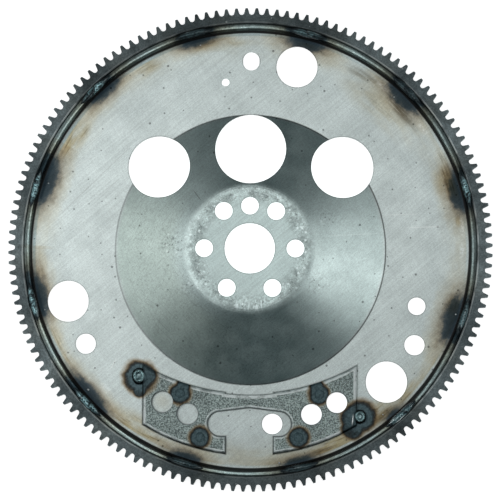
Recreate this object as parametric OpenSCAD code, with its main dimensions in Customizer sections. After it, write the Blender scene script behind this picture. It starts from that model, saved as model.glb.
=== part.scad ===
// Flexplate: a pressed steel drive disc between a crankshaft and a torque converter.
// A starter ring gear is welded round its rim, and a balance weight is spot welded to its face.
// Lengths are in millimetres and angles in degrees, counted from X towards Y.
// The disc lies with its crankshaft side up. The crankshaft's axis is Z, and Z = 0 is the flat
// back face of the annulus, which the torque converter is bolted to.

/* [Starter ring] */
// Number of starter teeth
tooth_count = 148; // [136:1:168]
// Module of the teeth, which is 25.4 mm over a diametral pitch of 12
tooth_module = 2.1167; // [2:0.0001:2.4]
// Pressure angle of the teeth
pressure_angle = 14.5; // [12:0.5:20]
// Depth of the tooth gaps under the pitch circle, in modules
tooth_dedendum = 1.14; // [1.1:0.01:1.4]
// Play of the teeth: how much thinner than half of a pitch a tooth is, along the pitch circle
tooth_play = 0.6; // [0.1:0.05:0.8]
// Roundness of the bottoms of the tooth gaps, measured along the radius
gap_round = 1.3; // [0.4:0.1:1.4]
// Turn of the first tooth from the X axis
tooth_turn = 1.07; // [0:0.01:2.4]
// Width of the ring along the axis
ring_width = 10; // [7:0.5:16]
// Metal between the ring's bore and the bottoms of the tooth gaps
ring_wall = 5.7; // [3:0.1:9]
// Bevel on both edges of the bore, which makes the welding groove
bore_bevel = 1.1; // [0.4:0.1:2]
// Bevel across the ends of the teeth
tooth_bevel = 0.6; // [0.2:0.1:1.5]
// Height of the ring's back face over the disc's back face
ring_lift = 4; // [3:0.1:8]

/* [Disc section] */
// Thickness of the disc's sheet
sheet = 3; // [2:0.1:4]
// Radius of the flat hub
hub_flat_r = 38.5; // [36:0.5:50]
// Height of the hub's face over the annulus's face
hub_rise = 16; // [8:0.5:26]
// Radius of the bend at the hub, on the face
hub_bend = 18; // [8:0.5:24]
// Radius at which the cone has turned into the flat annulus
dish_r = 89.3; // [75:0.1:92]
// Radius of the bend at the foot of the cone, on the face
dish_bend = 2; // [0.5:0.1:6]
// Radius of the bend between annulus and flange, on the face
flange_bend = 2.5; // [1:0.1:4]
// Depth of the flange's edge under the ring's front face
rim_setback = 0.4; // [0:0.1:1.5]
// Rounding of the flange's outer edge
rim_round = 0.8; // [0.2:0.1:1.5]

/* [Crankshaft holes] */
// Diameter of the pilot bore
pilot_d = 33; // [25:0.1:38]
// Diameter of the crankshaft bolt holes
crank_hole_d = 11.7; // [8:0.1:13]
// Diameter of the crankshaft bolt circle
crank_circle_d = 59.7; // [54:0.1:62]
// Angle of the two upper crankshaft bolts from vertical
upper_bolt_angle = 35; // [30:0.5:40]
// Angle of the two lower crankshaft bolts from vertical
lower_bolt_angle = 30; // [24:0.5:40]
// Diameter of the dowel hole
dowel_d = 11.6; // [6:0.1:12]
// Distance of the dowel hole from the axis
dowel_r = 27.9; // [26:0.1:30]

/* [Lightening holes] */
// Diameter of the top lightening hole
top_hole_d = 46.7; // [20:0.1:50]
// Distance of the top lightening hole from the axis
top_hole_r = 66; // [62:0.5:72]
// Diameter of the two side lightening holes
side_hole_d = 41; // [20:0.1:44]
// Distance of the side lightening holes from the axis
side_hole_r = 81.2; // [74:0.1:88]
// Angle of the side lightening holes from vertical
side_hole_angle = 48; // [42:0.5:60]

/* [Annulus holes] */
// Diameter of the converter bolt circle
converter_circle_d = 249.6; // [240:0.1:254]
// Diameter of the two plain converter bolt holes
converter_hole_d = 13.3; // [9:0.1:16]
// Width of the locating slot for the third converter bolt
slot_w = 10.8; // [8:0.1:14]
// Length of the locating slot, along the radius
slot_l = 12.2; // [12:0.1:18]
// Diameter of the access holes beside the converter bolts
access_hole_d = 27.1; // [16:0.1:30]
// Angle from each converter bolt to its access hole
access_angle = 14; // [12:0.1:20]
// Diameter of the circle that the balance holes lie on
balance_circle_d = 231; // [226:0.1:236]
// Diameter of the balance holes
balance_hole_d = 13.4; // [6:0.1:14]
// Angles of the balance holes from the lowest point
balance_angles = [7.4, 20.6, 29.7];
// Diameter of the timing hole on the balance circle
timing_hole_d = 11.6; // [6:0.1:14]
// Angle of the timing hole from the lowest point
timing_angle = 71.4; // [68:0.1:90]
// Diameter of the small gauge hole
gauge_hole_d = 5.1; // [3:0.1:8]
// Distance of the gauge hole from the axis
gauge_hole_r = 112; // [108:0.1:116]
// Angle of the gauge hole from vertical
gauge_angle = 8.7; // [7:0.1:20]

/* [Ring welds] */
// Number of stitch welds
weld_count = 12; // [4:1:14]
// Angle of the first weld's middle
weld_start = 15.95; // [0:0.01:30]
// Angle from one weld to the next, which leaves the last gap wider
weld_pitch = 29.67; // [18:0.01:30]
// Length of a weld along the rim
bead_l = 25; // [10:0.5:32]
// Depth of the middle of the ball that tapers a weld's ends: a shallow one makes them blunt
bead_taper = 14; // [8:0.5:24]
// Radius of a bead's section
bead_r = 2.8; // [2.2:0.1:4]
// Distance of a bead's middle inside the ring's bore
bead_inset = 1.5; // [0.5:0.1:2]
// Depth of a bead's middle under the ring's front face
bead_sink = 1.6; // [0.5:0.1:2]

/* [Balance weight] */
// Width of the weight
weight_w = 141; // [120:0.5:160]
// Thickness of the weight
weight_t = 4; // [3:0.1:6]
// Radius of the weight's concave inner edge
weight_inner_arc = 140; // [110:1:200]
// Flat left between the cone's foot and the middle of the inner edge
weight_dish_gap = 5.3; // [2:0.1:10]
// Distance of the weight's outer edge outside the middle of the flat between its holes and the flange
weight_rim_shift = 2.4; // [-2:0.1:5]
// Rounding that the press leaves on the weight's edges
weight_round = 1.9; // [0.5:0.1:2.5]
// Depth of the cut that trims the middle of the inner edge
weight_trim = 1; // [0.2:0.1:1.8]
// Diameter of the weight's four holes
weight_hole_d = 14.2; // [8:0.1:16]
// Distance of the window's lobes from the middle
lobe_x = 19.3; // [17:0.1:22]
// Metal left between the window's peak and the trimmed inner edge
window_bridge = 8.2; // [4:0.1:12]
// Metal left between the window's lobes and the outer edge, measured along Y
window_foot = 12.4; // [6:0.1:14]
// Height of the window's peak over the tops of its lobes
window_peak = 2.4; // [0:0.1:4]
// Width of the gap between the weight's two legs
leg_gap = 31.4; // [20:0.1:34]
// Diameter of the marks that the welding electrodes leave
spot_d = 12.6; // [8:0.1:14]
// Depth of the electrode marks
spot_depth = 0.3; // [0.1:0.1:1]
// Distance of the spot welds from the weight's edges
spot_inset = 7.6; // [6:0.1:10]
// Angle of the upper spot welds about the inner edge's centre, from the lowest point
upper_spot_angle = 18; // [12:0.5:22]
// Angle of the lower spot welds about the axis, from the lowest point
lower_spot_angle = 14.7; // [12:0.1:20]

/* [Tack welds] */
// Radius of a tack weld
tack_r = 4.6; // [3:0.1:6]
// Length of a tack weld between its round ends
tack_l = 2.6; // [1:0.1:10]
// Height of a tack weld's middle over the annulus
tack_lift = 0.4; // [0:0.1:1.5]
// Distance of a tack weld's middle outside the weight's side
tack_offset = 2.2; // [0:0.1:3]
// Distance of the left tack weld from the weight's inner corner
left_tack_inset = 8.4; // [2:0.1:20]
// Distance of the right tack weld from the weight's outer corner
right_tack_inset = 4.9; // [2:0.1:20]

/* [Hidden] */
$fn = 120;

// Overlap of a cutting tool past the face that it cuts
past = 1;

// Angle between the points of a bend's section
arc_step = 9;

// Ring gear: full depth teeth, and a bore that is the disc's seat
pitch_r = tooth_count * tooth_module / 2;
tip_r = pitch_r + tooth_module;
root_r = pitch_r - tooth_dedendum * tooth_module;
base_r = pitch_r * cos(pressure_angle);
flank_r = root_r + gap_round;
bore_r = root_r - ring_wall;
ring_top = ring_lift + ring_width;

// Disc: radii and heights of its section
flange_in_r = bore_r - sheet;
flat_end_r = flange_in_r - flange_bend;
rim_z = ring_top - rim_setback;
bead_mid_r = bore_r - bead_inset;
hub_z = sheet + hub_rise;

// Slope of the cone, tangent to the bends at its top and at its foot
bends = hub_bend + dish_bend;
cone_l = dish_r - hub_flat_r;
cone_angle = asin(bends / norm([cone_l, bends - hub_rise])) - atan2(bends - hub_rise, cone_l);
hub_centre = [hub_flat_r, hub_z - hub_bend];
dish_centre = [dish_r, sheet + dish_bend];
flange_centre = [flat_end_r, sheet + flange_bend];

// Balance weight: its edges lie between the cone, its own holes and the flange
weight_outer_r = (balance_circle_d / 2 + weight_hole_d / 2 + flat_end_r) / 2 + weight_rim_shift;
weight_inner_r = dish_r + weight_dish_gap;
inner_centre_y = weight_inner_arc - weight_inner_r;

// Heights of the weight's corners along Y, where its sides meet its inner and its outer edge
inner_corner_y = inner_centre_y - sqrt(weight_inner_arc ^ 2 - (weight_w / 2) ^ 2);
outer_corner_y = -sqrt(weight_outer_r ^ 2 - (weight_w / 2) ^ 2);

// The weight's window fills what the bridge over it and the metal under its lobes leave
window_top = weight_inner_r + weight_trim + window_bridge + window_peak;
lobe_r = (weight_outer_r - window_foot - window_top) / 2;
window_y = -window_top - lobe_r;

function polar(r, a) = [r * cos(a), r * sin(a)];

// Points of a round stretch about a centre, from the first angle of a turn to the second
function arc(centre, r, turn) = let (steps = max(4, ceil(abs(turn[1] - turn[0]) / arc_step)))
    [for (i = [0:steps]) centre + polar(r, turn[0] + (turn[1] - turn[0]) * i / steps)];

// Involute teeth: half of a tooth's angle at radius r
function involute(a) = tan(a) * 180 / PI - a;
function half_tooth(r) = 90 / tooth_count - 90 * tooth_play / (PI * pitch_r)
    + involute(pressure_angle) - involute(acos(base_r / r));

// Outline of one tooth and of the round gap after it
function tooth(turn) = let (
    radii = [flank_r, pitch_r, tip_r],
    step = 360 / tooth_count,
    half_gap = step / 2 - half_tooth(flank_r),
    gap_turns = [45, 90, 135]
) concat(
    [for (r = radii) polar(r, turn - half_tooth(r))],
    [for (i = [2:-1:0]) polar(radii[i], turn + half_tooth(radii[i]))],
    [for (t = gap_turns) polar(flank_r - gap_round * sin(t), turn + step / 2 - half_gap * cos(t))]
);

// A straight hole through the whole height of the disc
module drill(d, at) {
    translate([at.x, at.y, -past])
        cylinder(d = d, h = hub_z + 2 * past);
}

// What rounding with radius r takes off a corner that lies at the origin, with its sides along -X and -Y
module corner_waste(r) {
    translate([-r, -r])
        difference() {
            square(r + past);
            circle(r);
        }
}

// Section of the disc in radius and height: along its face from the bore to the rim, and back
// along the other side. Each bend turns about one centre, so the sheet keeps its thickness.
module disc_section() {
    hub_turn = [90, 90 - cone_angle];
    dish_turn = [270 - cone_angle, 270];
    flange_turn = [270, 360];
    polygon(concat(
        [[pilot_d / 2, hub_z]],
        arc(hub_centre, hub_bend, hub_turn),
        arc(dish_centre, dish_bend, dish_turn),
        arc(flange_centre, flange_bend, flange_turn),
        [[flange_in_r, rim_z]],
        arc([bore_r - rim_round, rim_z - rim_round], rim_round, [90, 0]),
        arc(flange_centre, flange_bend + sheet, [flange_turn[1], flange_turn[0]]),
        arc(dish_centre, dish_bend + sheet, [dish_turn[1], dish_turn[0]]),
        arc(hub_centre, hub_bend - sheet, [hub_turn[1], hub_turn[0]]),
        [[pilot_d / 2, hub_z - sheet]]
    ));
}

// Section of the turned blank that the ring gear is cut from
module ring_section() {
    polygon([
        [bore_r, ring_lift + bore_bevel],
        [bore_r + bore_bevel, ring_lift],
        [tip_r - tooth_bevel, ring_lift],
        [tip_r, ring_lift + tooth_bevel],
        [tip_r, ring_top - tooth_bevel],
        [tip_r - tooth_bevel, ring_top],
        [bore_r + bore_bevel, ring_top],
        [bore_r, ring_top - bore_bevel]
    ]);
}

module crank_holes() {
    angles = [
        0, 180, 90 - upper_bolt_angle, 90 + upper_bolt_angle, 270 - lower_bolt_angle, 270 + lower_bolt_angle
    ];
    for (a = angles)
        drill(crank_hole_d, polar(crank_circle_d / 2, a));
    drill(dowel_d, [0, dowel_r]);
}

module lightening_holes() {
    drill(top_hole_d, [0, top_hole_r]);
    for (side = [-1, 1])
        drill(side_hole_d, polar(side_hole_r, 90 + side * side_hole_angle));
}

// Three converter bolts with an access hole beside each: one bolt locates in a slot
module converter_holes() {
    circle_r = converter_circle_d / 2;
    for (a = [210, 330])
        drill(converter_hole_d, polar(circle_r, a));
    for (end = [-1, 1])
        drill(slot_w, [0, circle_r + end * (slot_l - slot_w) / 2]);
    translate([-slot_w / 2, circle_r - (slot_l - slot_w) / 2, -past])
        cube([slot_w, slot_l - slot_w, sheet + 2 * past]);
    for (a = [90, 210, 330])
        drill(access_hole_d, polar(circle_r, a - access_angle));
}

module balance_holes() {
    for (a = balance_angles)
        drill(balance_hole_d, polar(balance_circle_d / 2, 270 + a));
    drill(timing_hole_d, polar(balance_circle_d / 2, 270 + timing_angle));
    drill(gauge_hole_d, polar(gauge_hole_r, 90 + gauge_angle));
}

// The stamped drive disc
module flexplate_disc() {
    color("#b4bdba")
        difference() {
            rotate_extrude()
                disc_section();
            crank_holes();
            lightening_holes();
            converter_holes();
            balance_holes();
        }
}

// The starter ring: a turned blank with hobbed teeth
module ring_gear() {
    color("#4c5052")
        intersection() {
            rotate_extrude()
                ring_section();
            linear_extrude(ring_top + past)
                polygon([for (i = [0:tooth_count - 1]) each tooth(tooth_turn + i * 360 / tooth_count)]);
        }
}

// Section of a stitch weld, which fills the groove between rim and ring
module bead_section() {
    difference() {
        translate([bead_mid_r, ring_top - bead_sink])
            circle(bead_r);
        disc_section();
        ring_section();
    }
}

// One stitch weld, with a ball's surface that tapers its ends
module bead() {
    ball_r = norm([bead_l / 2, bead_taper]);
    intersection() {
        rotate(-weld_pitch / 2)
            rotate_extrude(angle = weld_pitch)
                bead_section();
        translate([bead_mid_r, 0, ring_top - bead_taper])
            sphere(ball_r);
    }
}

// The stitch welds along the rim
module ring_welds() {
    color("#53686b")
        for (i = [0:weld_count - 1])
            rotate(weld_start + i * weld_pitch)
                bead();
}

// The weight's window: two lobes, a peaked top and the gap between the legs
module weight_window() {
    for (side = [-1, 1])
        translate([side * lobe_x, window_y])
            circle(lobe_r);
    polygon([
        [-lobe_x, window_y + lobe_r],
        [0, window_y + lobe_r + window_peak],
        [lobe_x, window_y + lobe_r],
        [lobe_x, window_y - lobe_r],
        [-lobe_x, window_y - lobe_r]
    ]);
    translate([-leg_gap / 2, -weight_outer_r - past])
        square([leg_gap, weight_outer_r + past + window_y]);
}

// Outline of the weight, between the concave inner edge and the round outer edge
module weight_outline() {
    difference() {
        intersection() {
            circle(weight_outer_r);
            translate([-weight_w / 2, -weight_outer_r])
                square([weight_w, weight_outer_r]);
        }
        translate([0, inner_centre_y])
            circle(weight_inner_arc);
        intersection() {
            translate([0, inner_centre_y])
                circle(weight_inner_arc + weight_trim);
            translate([-leg_gap / 2, -weight_outer_r])
                square([leg_gap, weight_outer_r]);
        }
        weight_window();
    }
}

// What the press's rounding takes off the weight's outer edge, inner edge and two sides
module weight_edge_waste() {
    rotate_extrude()
        translate([weight_outer_r, weight_t])
            corner_waste(weight_round);
    translate([0, inner_centre_y, 0])
        rotate_extrude()
            translate([weight_inner_arc, weight_t])
                mirror([1, 0])
                    corner_waste(weight_round);
    for (side = [0, 1])
        mirror([side, 0, 0])
            translate([weight_w / 2, 0, weight_t])
                rotate([90, 0, 0])
                    linear_extrude(weight_outer_r)
                        corner_waste(weight_round);
}

// Places of the four spot welds
function spot_points() = [
    for (side = [-1, 1])
        each [
            [0, inner_centre_y] + polar(weight_inner_arc + spot_inset, 270 + side * upper_spot_angle),
            polar(weight_outer_r - spot_inset, 270 + side * lower_spot_angle)
        ]
];

// The balance weight, lying on the annulus
module balance_weight() {
    color("#8b9492")
        translate([0, 0, sheet])
            difference() {
                linear_extrude(weight_t)
                    weight_outline();
                weight_edge_waste();
                for (side = [-1, 1], a = [balance_angles[1], balance_angles[2]])
                    drill(weight_hole_d, polar(balance_circle_d / 2, 270 + side * a));
                for (spot = spot_points())
                    translate([spot.x, spot.y, weight_t - spot_depth])
                        cylinder(d = spot_d, h = spot_depth + past);
            }
}

// One tack weld that lies along Y over one side of the weight, before it is seated
module tack(x, y) {
    translate([x, y, sheet + tack_lift]) {
        rotate([90, 0, 0])
            cylinder(r = tack_r, h = tack_l, center = true);
        for (end = [-1, 1])
            translate([0, end * tack_l / 2, 0])
                sphere(tack_r);
    }
}

// Section of all that lies under the annulus's face and behind the flange, as deep as a tack weld reaches
module under_annulus_section() {
    deep = sheet - tack_r;
    behind = flange_in_r + tack_r;
    polygon(concat(
        [[0, deep], [0, sheet]],
        arc(flange_centre, flange_bend, [270, 360]),
        [[flange_in_r, rim_z], [behind, rim_z], [behind, deep]]
    ));
}

// The tack welds, seated on the annulus and against the weight's sides
module tack_welds() {
    color("#3f4a4d")
        difference() {
            union() {
                tack(-weight_w / 2 - tack_offset, inner_corner_y - left_tack_inset);
                tack(weight_w / 2 + tack_offset, outer_corner_y + right_tack_inset);
            }
            rotate_extrude()
                under_annulus_section();
            balance_weight();
        }
}

flexplate_disc();
ring_gear();
ring_welds();
balance_weight();
tack_welds();
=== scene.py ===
# %% [markdown]
# A flexplate is the pressed steel disc that joins an engine's crankshaft to a torque converter.
# Its exact shape comes from CAD. This script gives that shape its looks: bare steel that was
# scratched on its way, welds with the colours that their heat left, and a studio round it.

# %% Load the part
import math

import bmesh
import bpy
from mathutils import Matrix, Vector


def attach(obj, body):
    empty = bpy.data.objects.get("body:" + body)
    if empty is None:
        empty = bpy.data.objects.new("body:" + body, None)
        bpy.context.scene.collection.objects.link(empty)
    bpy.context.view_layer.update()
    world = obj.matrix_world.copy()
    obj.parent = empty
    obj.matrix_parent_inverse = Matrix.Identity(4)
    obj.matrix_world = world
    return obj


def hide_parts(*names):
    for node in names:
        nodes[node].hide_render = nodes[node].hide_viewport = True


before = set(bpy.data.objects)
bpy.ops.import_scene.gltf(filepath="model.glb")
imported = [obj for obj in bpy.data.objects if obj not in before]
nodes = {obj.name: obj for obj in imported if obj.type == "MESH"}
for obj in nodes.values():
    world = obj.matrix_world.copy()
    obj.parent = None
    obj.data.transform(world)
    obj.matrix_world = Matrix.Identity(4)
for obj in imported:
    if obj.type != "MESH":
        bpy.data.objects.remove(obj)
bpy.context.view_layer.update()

MM = 0.001
print("CAD nodes:", sorted(nodes))

# %% [markdown]
# The disc, the ring gear and the balance weight keep their CAD shapes. Only the welds are
# modelled again, because weld metal is lumpy. Their pieces need a few tools. An operator acts on
# all that is selected, so each piece starts with nothing selected. In edit mode, points are
# selected by their place. A modifier is applied at once, so that the piece ends as a plain mesh.

# %% Tools for modelling


def start_clean():
    bpy.ops.object.select_all(action="DESELECT")


def choose(piece, test):
    """Selects those points of a piece in edit mode whose place passes the test."""
    bpy.ops.mesh.select_all(action="DESELECT")
    mesh = bmesh.from_edit_mesh(piece.data)
    for vertex in mesh.verts:
        vertex.select = test(vertex.co)
    mesh.select_flush_mode()
    bmesh.update_edit_mesh(piece.data)


def take(*pieces):
    """Selects only these pieces, with the first one active."""
    start_clean()
    for piece in pieces:
        piece.select_set(True)
    bpy.context.view_layer.objects.active = pieces[0]


def settle():
    """Puts the place, turn and size of the selected piece into its mesh."""
    bpy.ops.object.transform_apply(location=True, rotation=True, scale=True)


def shape_with(piece, kind, **settings):
    """Adds a modifier and applies it."""
    take(piece)
    modifier = piece.modifiers.new(kind.lower(), kind)
    for name, value in settings.items():
        setattr(modifier, name, value)
    bpy.ops.object.modifier_apply(modifier=modifier.name)


def roughen(piece, size, depth):
    """Moves the surface in and out with clouds of that size and depth in millimetres."""
    clouds = bpy.data.textures.new(piece.name + "_clouds", "CLOUDS")
    clouds.noise_scale = size * MM
    shape_with(piece, "DISPLACE", texture=clouds, strength=depth * MM, mid_level=0.5)


def joined(pieces, name):
    """Makes one smooth piece of weld metal out of several."""
    take(*pieces)
    bpy.ops.object.join()
    piece = bpy.context.object
    piece.name = piece.data.name = name
    bpy.ops.object.shade_smooth()
    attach(piece, "root")
    return piece


# %% [markdown]
# Twelve short beads of weld metal hold the ring gear on the disc's flange. A bead is thick in its
# middle, runs out to a point at both ends, and is rippled where the metal set. A circle spun
# about the disc's axis gives the curve of the rim. Each ring of points is then scaled about the
# rim's surface: less and less towards the ends, and a little up and down for the ripples.

# %% One stitch weld
WELD_START = 15.95
WELD_PITCH = 29.67
WELD_COUNT = 12
WELD_LENGTH = 26.0
BEAD_MIDDLE = (146.7, 12.6)
BEAD_SURFACE = 13.8
BEAD_RADIUS = 2.55
BEAD_SIDES = 16
BEAD_STEPS = 52
RIPPLE_LENGTH = 2.0
RIPPLE_HEIGHT = 0.06
# How round a bead's ends are, and the least share of its size that is left there
BEAD_TAPER = 0.7
BEAD_TIP = 0.04


def rim_place(turn, height):
    """A point over the rim, at a turn in radians and a height in millimetres."""
    return Matrix.Rotation(turn, 3, "Z") @ Vector((BEAD_MIDDLE[0], 0, height)) * MM


def stitch_weld():
    """One bead along the rim, with its middle over the X axis."""
    half_turn = WELD_LENGTH / 2 / BEAD_MIDDLE[0]
    start_clean()
    bpy.ops.mesh.primitive_circle_add(
        vertices=BEAD_SIDES, radius=BEAD_RADIUS * MM,
        location=rim_place(half_turn, BEAD_MIDDLE[1]), rotation=(math.pi / 2, 0, half_turn),
    )
    settle()
    bead = bpy.context.object
    bpy.ops.object.mode_set(mode="EDIT")
    bpy.ops.mesh.select_all(action="SELECT")
    bpy.ops.mesh.spin(steps=BEAD_STEPS, angle=2 * half_turn, center=(0, 0, 0), axis=(0, 0, 1))
    for step in range(BEAD_STEPS + 1):
        share = 1 - 2 * step / BEAD_STEPS
        turn = share * half_turn
        choose(bead, lambda at: abs(math.atan2(at.y, at.x) - turn) < half_turn / BEAD_STEPS)
        ripple = math.cos(share * math.pi * WELD_LENGTH / RIPPLE_LENGTH)
        size = max((1 - share ** 2) ** BEAD_TAPER, BEAD_TIP) * (1 + RIPPLE_HEIGHT * ripple)
        bpy.ops.transform.resize(value=(size, size, size), center_override=rim_place(turn, BEAD_SURFACE))
    bpy.ops.mesh.select_all(action="SELECT")
    bpy.ops.mesh.fill_holes(sides=0)
    bpy.ops.mesh.normals_make_consistent(inside=False)
    bpy.ops.object.mode_set(mode="OBJECT")
    return bead


beads = [stitch_weld()]
print("one bead has", len(beads[0].data.polygons), "faces")

# %% [markdown]
# The bead is copied round the rim, and each copy is turned to its place. The copies are joined
# before their surface is roughened. The clouds that roughen them lie still in space, so every
# bead gets its own lumps, although all of them came from one.

# %% The ring of stitch welds


def turned_copy(piece, degrees):
    take(piece)
    bpy.ops.object.duplicate()
    copy = bpy.context.object
    copy.rotation_euler.z = math.radians(degrees)
    settle()
    return copy


for weld in range(1, WELD_COUNT):
    beads.append(turned_copy(beads[0], WELD_START + weld * WELD_PITCH))
beads[0].rotation_euler.z = math.radians(WELD_START)
take(beads[0])
settle()
stitch_welds = joined(beads, "stitch_welds")
shape_with(stitch_welds, "SUBSURF", levels=1, render_levels=1)
roughen(stitch_welds, 5.0, 0.9)
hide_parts("ring_welds")
print("stitch welds:", len(stitch_welds.data.polygons), "faces")

# %% [markdown]
# Two tack welds hold the balance weight's sides. Each is a round button of metal that sank in the
# middle as it cooled. A filled circle is extruded step by step, and every step is scaled to the
# next radius of the profile: up the wall, over the crown, and down into the crater.

# %% The tack welds
# Middle, width and length of each tack weld
TACKS = [((-72.7, -83.5), 10.2, 11.6), ((72.4, -109.5), 9.0, 9.8)]
TACK_SIDES = 24
# Share of the radius, and height
TACK_PROFILE = [
    (1.0, 2.9), (0.97, 4.6), (0.89, 6.2), (0.74, 7.3), (0.58, 7.8), (0.42, 7.5), (0.28, 7.0), (0.12, 7.2),
]


def tack_weld(centre, width, length):
    """One tack weld, as a button with a crater."""
    (share, height), *steps = TACK_PROFILE
    middle = Vector((*centre, height)) * MM
    start_clean()
    bpy.ops.mesh.primitive_circle_add(
        vertices=TACK_SIDES, radius=width / 2 * MM, fill_type="NGON", location=middle,
    )
    settle()
    bpy.ops.object.mode_set(mode="EDIT")
    bpy.ops.mesh.select_all(action="SELECT")
    bpy.ops.transform.resize(value=(1, length / width, 1), center_override=middle)
    for next_share, next_height in steps:
        rise = Vector((0, 0, next_height - height)) * MM
        bpy.ops.mesh.extrude_region_move(TRANSFORM_OT_translate={"value": rise})
        grow = next_share / share
        bpy.ops.transform.resize(value=(grow, grow, 1), center_override=middle)
        share, height = next_share, next_height
    bpy.ops.mesh.select_all(action="SELECT")
    bpy.ops.mesh.normals_make_consistent(inside=False)
    bpy.ops.object.mode_set(mode="OBJECT")
    return bpy.context.object


tack_buttons = joined([tack_weld(*tack) for tack in TACKS], "tack_buttons")
shape_with(tack_buttons, "SUBSURF", levels=2, render_levels=2)
roughen(tack_buttons, 2.6, 0.7)
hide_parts("tack_welds")
print("tack welds:", len(tack_buttons.data.polygons), "faces")

# %% [markdown]
# Welding throws off drops of metal, and some of them stick to the annulus. A drop is a ball that
# is pressed flat and cut off at the sheet's face.

# %% Spatter
SHEET_FACE = 3.0
# Distance from the axis, angle and diameter of each drop
DROPS = [
    (141.6, 342.7, 1.3), (141.0, 221.1, 1.5), (141.4, 278.0, 1.2), (138.4, 47.0, 0.9),
    (139.6, 104.0, 0.9), (140.6, 162.0, 1.0), (139.0, 309.0, 0.9), (141.2, 196.5, 0.9),
]
DROP_STRETCH = (1.15, 0.9, 0.8)


def drop(distance, degrees, size):
    middle = Matrix.Rotation(math.radians(degrees), 3, "Z") @ Vector((distance, 0, SHEET_FACE)) * MM
    start_clean()
    bpy.ops.mesh.primitive_ico_sphere_add(subdivisions=3, radius=size / 2 * MM, location=middle)
    settle()
    bpy.ops.object.mode_set(mode="EDIT")
    bpy.ops.mesh.select_all(action="SELECT")
    bpy.ops.transform.resize(value=DROP_STRETCH, center_override=middle)
    bpy.ops.mesh.bisect(plane_co=middle, plane_no=(0, 0, 1), use_fill=True, clear_inner=True)
    bpy.ops.object.mode_set(mode="OBJECT")
    return bpy.context.object


spatter = joined([drop(*place) for place in DROPS], "spatter")
print("spatter:", len(DROPS), "drops,", len(spatter.data.polygons), "faces")

# %% [markdown]
# Every finish here is a graph of shader nodes. Adding nodes one by one takes many lines, so a
# small class keeps one material and adds a node, or a few that go together, with one call.
# All of its lengths are millimetres, because that is how one thinks about scratches and spots.

# %% A short way to write a node material
RIM_RADIUS = 146.0


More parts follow.
